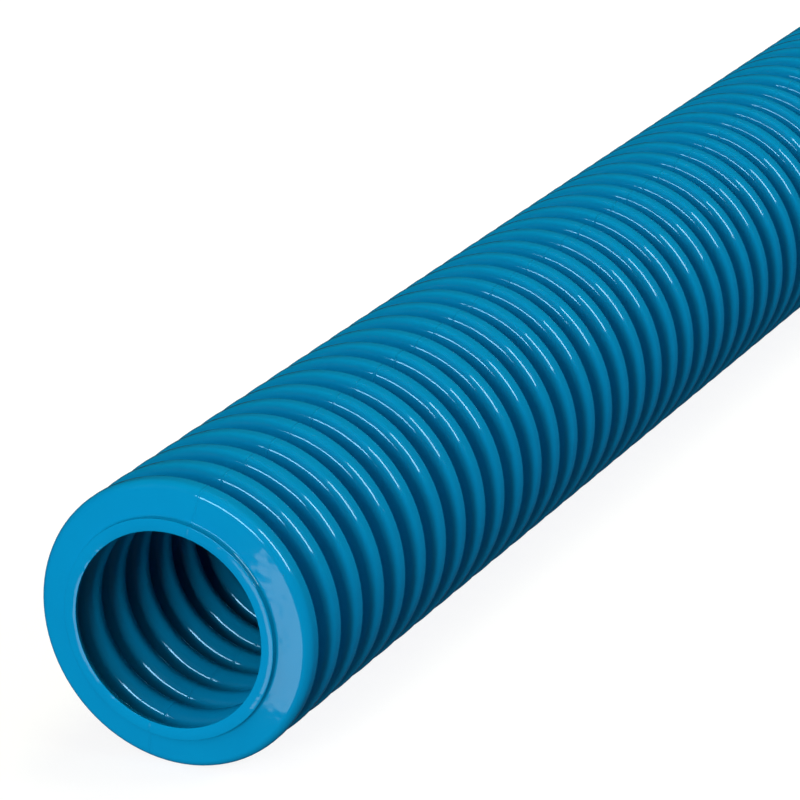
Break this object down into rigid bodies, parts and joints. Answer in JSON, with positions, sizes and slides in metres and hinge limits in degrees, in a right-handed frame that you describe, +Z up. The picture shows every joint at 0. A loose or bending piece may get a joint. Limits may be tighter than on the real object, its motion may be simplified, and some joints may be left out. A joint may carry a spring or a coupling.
{
  "type": "corrugated conduit",
  "caption": "Straight length of round, flexible PVC electrical conduit with ring-shaped corrugations and an open bore for wires.",
  "frame": {"origin": "on the floor under the middle of the tube's length and under its axis", "axes": "+X along the tube, +Z up, the tube lying on its crests"},
  "size_m": [3.048, 0.0212, 0.0213],
  "materials": {
    "pvc_blue": "glossy blue moulded PVC with a faint mould parting line"
  },
  "bodies": {
    "root": {"conduit": "pvc_blue"}
  },
  "joints": []
}
